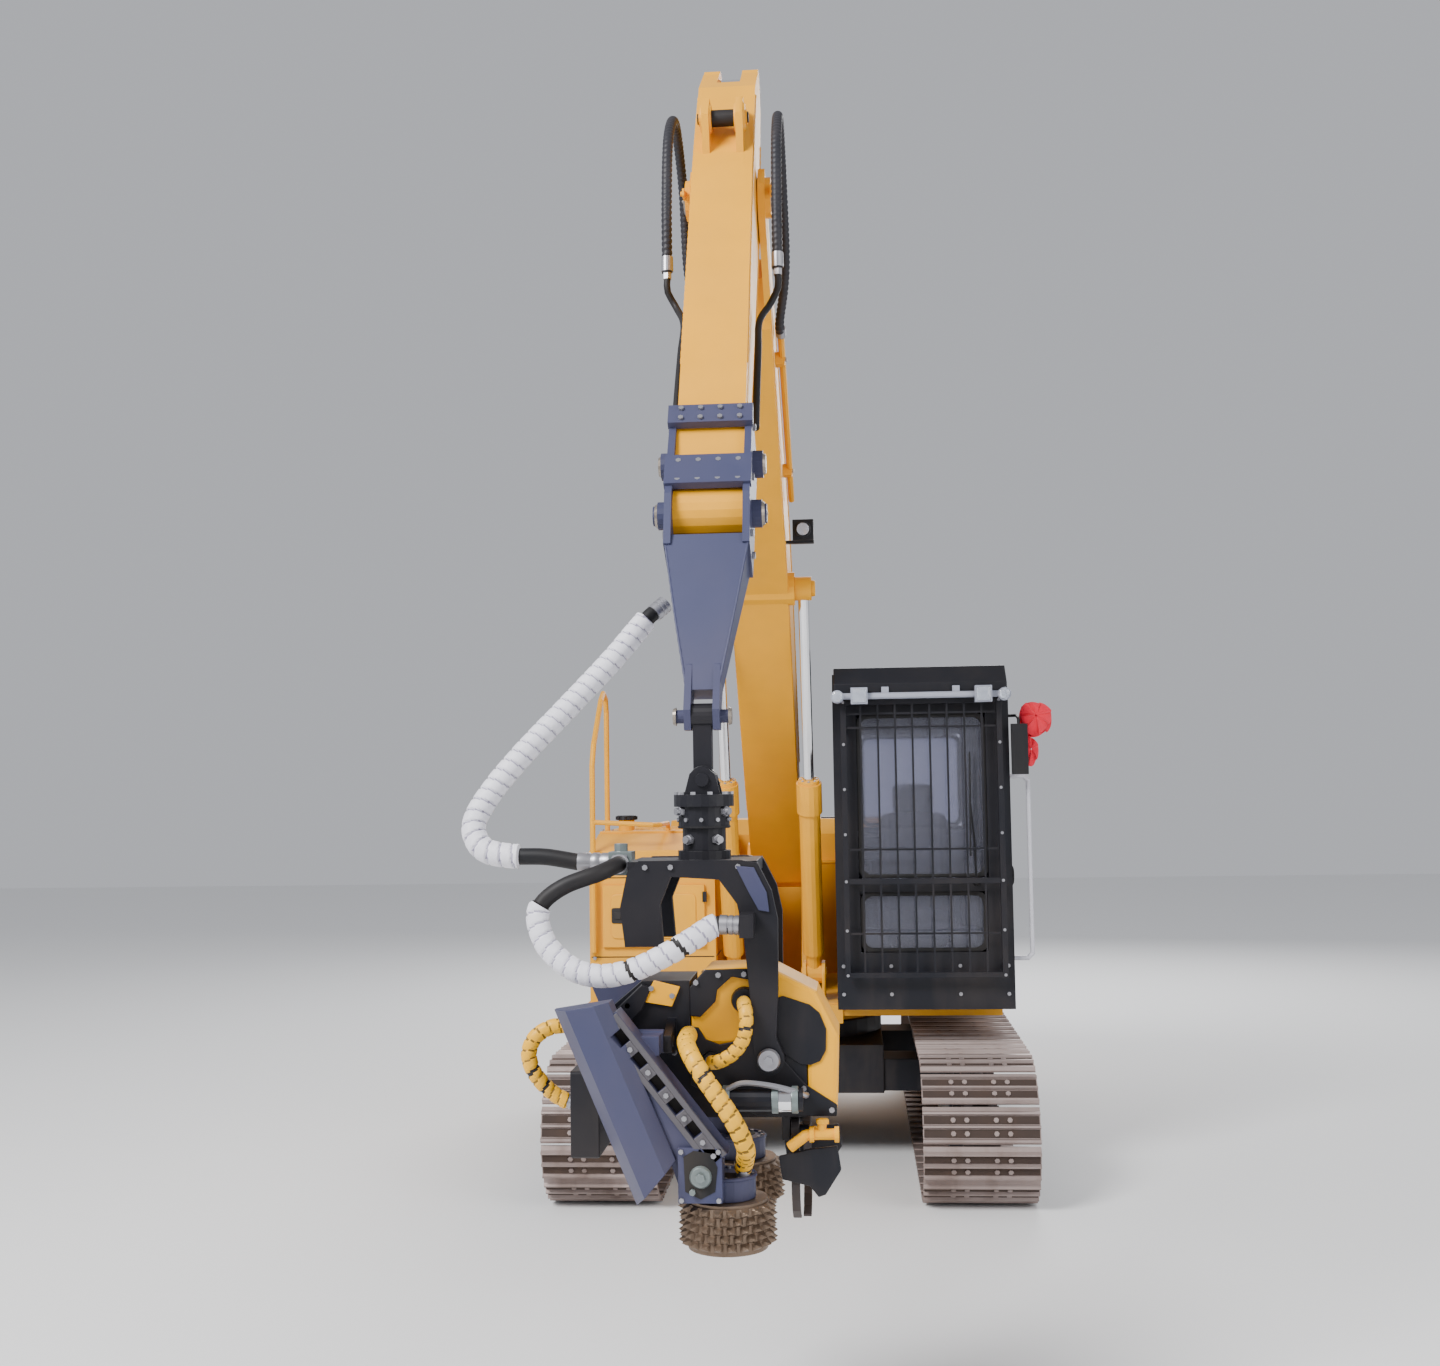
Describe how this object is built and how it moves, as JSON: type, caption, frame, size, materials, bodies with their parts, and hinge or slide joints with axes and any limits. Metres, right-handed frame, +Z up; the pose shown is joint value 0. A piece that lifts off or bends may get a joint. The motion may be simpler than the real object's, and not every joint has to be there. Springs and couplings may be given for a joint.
{
  "type": "forestry harvester",
  "caption": "Tracked forestry harvester: excavator carrier with a guarded cab, cranked boom, stick and a hanging harvester head with feed rollers, delimbing knives and saw.",
  "frame": {"origin": "on the ground under the middle of the whole machine's box, boom included", "axes": "+Y from the boom's end towards the counterweight, so the cab looks along -Y; +X towards the cab's side; +Z up"},
  "size_m": [2.7853, 7.7699, 5.4528],
  "materials": {
    "machine_yellow": "gloss",
    "head_yellow": "gloss",
    "slate_paint": "satin",
    "black_paint": "satin",
    "track_steel": "worn",
    "bright_steel": "polished",
    "worn_steel": "worn",
    "black_rubber": "matte",
    "white_wrap": "satin",
    "yellow_wrap": "satin",
    "seat_fabric": "woven",
    "lamp_grey": "satin",
    "red_cloth": "satin",
    "mirror_black": "satin"
  },
  "bodies": {
    "undercarriage": {"car_body": "black_paint", "track_left": "track_steel", "track_right": "track_steel", "track_frame_left": "black_paint", "track_frame_right": "black_paint", "final_drive_left": "black_paint", "final_drive_right": "black_paint"},
    "upper_structure": {"upper_frame": "machine_yellow", "counterweight": "machine_yellow", "engine_block": "black_paint", "bay_top_deck": "machine_yellow", "tool_box": "machine_yellow", "fuel_tank": "machine_yellow", "deck_handrail": "machine_yellow", "cab_shell": "black_paint", "front_guard": "black_paint", "roof_guard": "black_paint", "lamp_bar": "lamp_grey", "cab_mirror": "mirror_black", "cab_grab_rail": "lamp_grey", "mirror_rosette": "red_cloth", "operator_seat": "seat_fabric"},
    "engine_hood": {"engine_hood": "machine_yellow"},
    "left_side_door": {"left_side_door": "machine_yellow"},
    "right_side_door": {"right_side_door": "machine_yellow"},
    "tool_box_door": {"tool_box_door": "machine_yellow"},
    "cab_door": {"cab_door": "black_paint"},
    "boom": {"boom": "machine_yellow", "boom_lamp": "black_paint", "boom_pipe_left": "machine_yellow", "boom_pipe_right": "machine_yellow", "boom_hose_left": "black_rubber", "boom_hose_right": "black_rubber"},
    "boom_cylinder_barrels": {"boom_cylinder_left_barrel": "machine_yellow", "boom_cylinder_right_barrel": "machine_yellow"},
    "boom_cylinder_rods": {"boom_cylinder_left_rod": "bright_steel", "boom_cylinder_right_rod": "bright_steel"},
    "stick": {"stick": "machine_yellow", "adapter": "slate_paint", "white_hose_upper": "white_wrap"},
    "stick_cylinder_barrel": {"stick_cylinder_barrel": "machine_yellow"},
    "stick_cylinder_rod": {"stick_cylinder_rod": "bright_steel"},
    "swing_link": {"swing_link": "black_paint"},
    "rotator": {"rotator": "black_paint"},
    "hanger": {"tilt_frame": "black_paint", "hose_block": "lamp_grey", "white_hose_lower": "white_wrap"},
    "head": {"head_frame": "black_paint", "head_cowl": "head_yellow", "saw_box": "slate_paint", "motor_hose": "yellow_wrap"},
    "saw_bar": {"saw_bar": "bright_steel"},
    "feed_arm_front": {"feed_arm_front": "slate_paint"},
    "feed_arm_rear": {"feed_arm_rear": "slate_paint"},
    "feed_roller_front": {"feed_roller_front": "worn_steel"},
    "feed_roller_rear": {"feed_roller_rear": "worn_steel"},
    "knife_front": {"knife_front": "worn_steel"},
    "knife_rear": {"knife_rear": "worn_steel"}
  },
  "joints": [
    {"name": "slew", "type": "hinge", "parent": "undercarriage", "child": "upper_structure", "pos_m": [-0.1, 1.75, 0.8], "axis": [0, 0, 1], "continuous": true},
    {"name": "hood_hinge", "type": "hinge", "parent": "upper_structure", "child": "engine_hood", "pos_m": [-0.1, 3.135, 1.7203], "axis": [-1, 0, 0], "range_deg": [0, 65]},
    {"name": "left_side_door_hinge", "type": "hinge", "parent": "upper_structure", "child": "left_side_door", "pos_m": [1.1, 3.164, 1.3], "axis": [0, 0, 1], "range_deg": [0, 100]},
    {"name": "right_side_door_hinge", "type": "hinge", "parent": "upper_structure", "child": "right_side_door", "pos_m": [-1.3, 3.164, 1.3], "axis": [0, 0, -1], "range_deg": [0, 100]},
    {"name": "tool_box_door_hinge", "type": "hinge", "parent": "upper_structure", "child": "tool_box_door", "pos_m": [-0.6, 0.7947, 1.48], "axis": [0, 0, 1], "range_deg": [0, 90]},
    {"name": "cab_door_hinge", "type": "hinge", "parent": "upper_structure", "child": "cab_door", "pos_m": [1.158, 1.592, 1.9], "axis": [0, 0, 1], "range_deg": [0, 120]},
    {"name": "boom_pivot", "type": "hinge", "parent": "upper_structure", "child": "boom", "pos_m": [-0.21, 1.64, 1.74], "axis": [-1, 0, 0], "range_deg": [-65, 6]},
    {"name": "boom_cylinder_base_pin", "type": "hinge", "parent": "upper_structure", "child": "boom_cylinder_barrels", "pos_m": [-0.21, 0.97, 1.13], "axis": [-1, 0, 0], "range_deg": [-70, 7]},
    {"name": "boom_cylinder_stroke", "type": "slide", "parent": "boom_cylinder_barrels", "child": "boom_cylinder_rods", "axis": [0, -0.3771, 0.9262], "range_m": [-0.965, 0.095]},
    {"name": "stick_pivot", "type": "hinge", "parent": "boom", "child": "stick", "pos_m": [-0.21, -1.8297, 4.7403], "axis": [1, 0, 0], "range_deg": [-50, 55], "deforming": ["boom_hose_left", "boom_hose_right"]},
    {"name": "stick_cylinder_base_pin", "type": "hinge", "parent": "boom", "child": "stick_cylinder_barrel", "pos_m": [-0.21, 0.4613, 3.8168], "axis": [1, 0, 0], "range_deg": [-4, 4]},
    {"name": "stick_cylinder_stroke", "type": "slide", "parent": "stick_cylinder_barrel", "child": "stick_cylinder_rod", "axis": [0, -0.7868, 0.6172], "range_m": [-0.55, 0.6]},
    {"name": "link_pin", "type": "hinge", "parent": "stick", "child": "swing_link", "pos_m": [-0.21, -3.4, 2.45], "axis": [-1, 0, 0], "range_deg": [-40, 40], "deforming": ["white_hose_upper"]},
    {"name": "rotator_pin", "type": "hinge", "parent": "swing_link", "child": "rotator", "pos_m": [-0.21, -3.4, 2.245], "axis": [0, 1, 0], "range_deg": [-30, 30], "deforming": ["white_hose_upper"]},
    {"name": "rotator_turn", "type": "hinge", "parent": "rotator", "child": "hanger", "pos_m": [-0.21, -3.4, 2.02], "axis": [0, 0, 1], "range_deg": [-170, 170], "deforming": ["white_hose_upper"]},
    {"name": "head_tilt", "type": "hinge", "parent": "hanger", "child": "head", "pos_m": [-0.004, -3.4, 1.385], "axis": [0, -1, 0], "range_deg": [0, 95], "deforming": ["white_hose_lower"]},
    {"name": "saw_pivot", "type": "hinge", "parent": "head", "child": "saw_bar", "pos_m": [-0.565, -3.21, 1.17], "axis": [1, 0, 0], "range_deg": [0, 85]},
    {"name": "feed_arm_hinge_front", "type": "hinge", "parent": "head", "child": "feed_arm_front", "pos_m": [-0.385, -3.635, 1.45], "axis": [-1, 0, 0], "range_deg": [-4, 28], "deforming": ["motor_hose"]},
    {"name": "feed_arm_hinge_rear", "type": "hinge", "parent": "head", "child": "feed_arm_rear", "pos_m": [-0.385, -3.165, 1.45], "axis": [1, 0, 0], "range_deg": [-4, 28]},
    {"name": "feed_roller_axle_front", "type": "hinge", "parent": "feed_arm_front", "child": "feed_roller_front", "pos_m": [-0.13, -3.67, 0.92], "axis": [0, 0, 1], "continuous": true},
    {"name": "feed_roller_axle_rear", "type": "hinge", "parent": "feed_arm_rear", "child": "feed_roller_rear", "pos_m": [-0.13, -3.13, 0.92], "axis": [0, 0, 1], "continuous": true},
    {"name": "knife_hinge_front", "type": "hinge", "parent": "head", "child": "knife_front", "pos_m": [0.085, -3.5, 1.155], "axis": [-1, 0, 0], "range_deg": [0, 60]},
    {"name": "knife_hinge_rear", "type": "hinge", "parent": "head", "child": "knife_rear", "pos_m": [0.085, -3.3, 1.155], "axis": [1, 0, 0], "range_deg": [0, 60]}
  ],
  "couplings": [
    {"joint": "boom_cylinder_base_pin", "follows": "boom_pivot", "ratio": 1.0637},
    {"joint": "boom_cylinder_stroke", "follows": "boom_pivot", "m_per_rad": 0.84392},
    {"joint": "stick_cylinder_base_pin", "follows": "stick_pivot", "ratio": 0.05175},
    {"joint": "stick_cylinder_stroke", "follows": "stick_pivot", "m_per_rad": 0.6156}
  ]
}
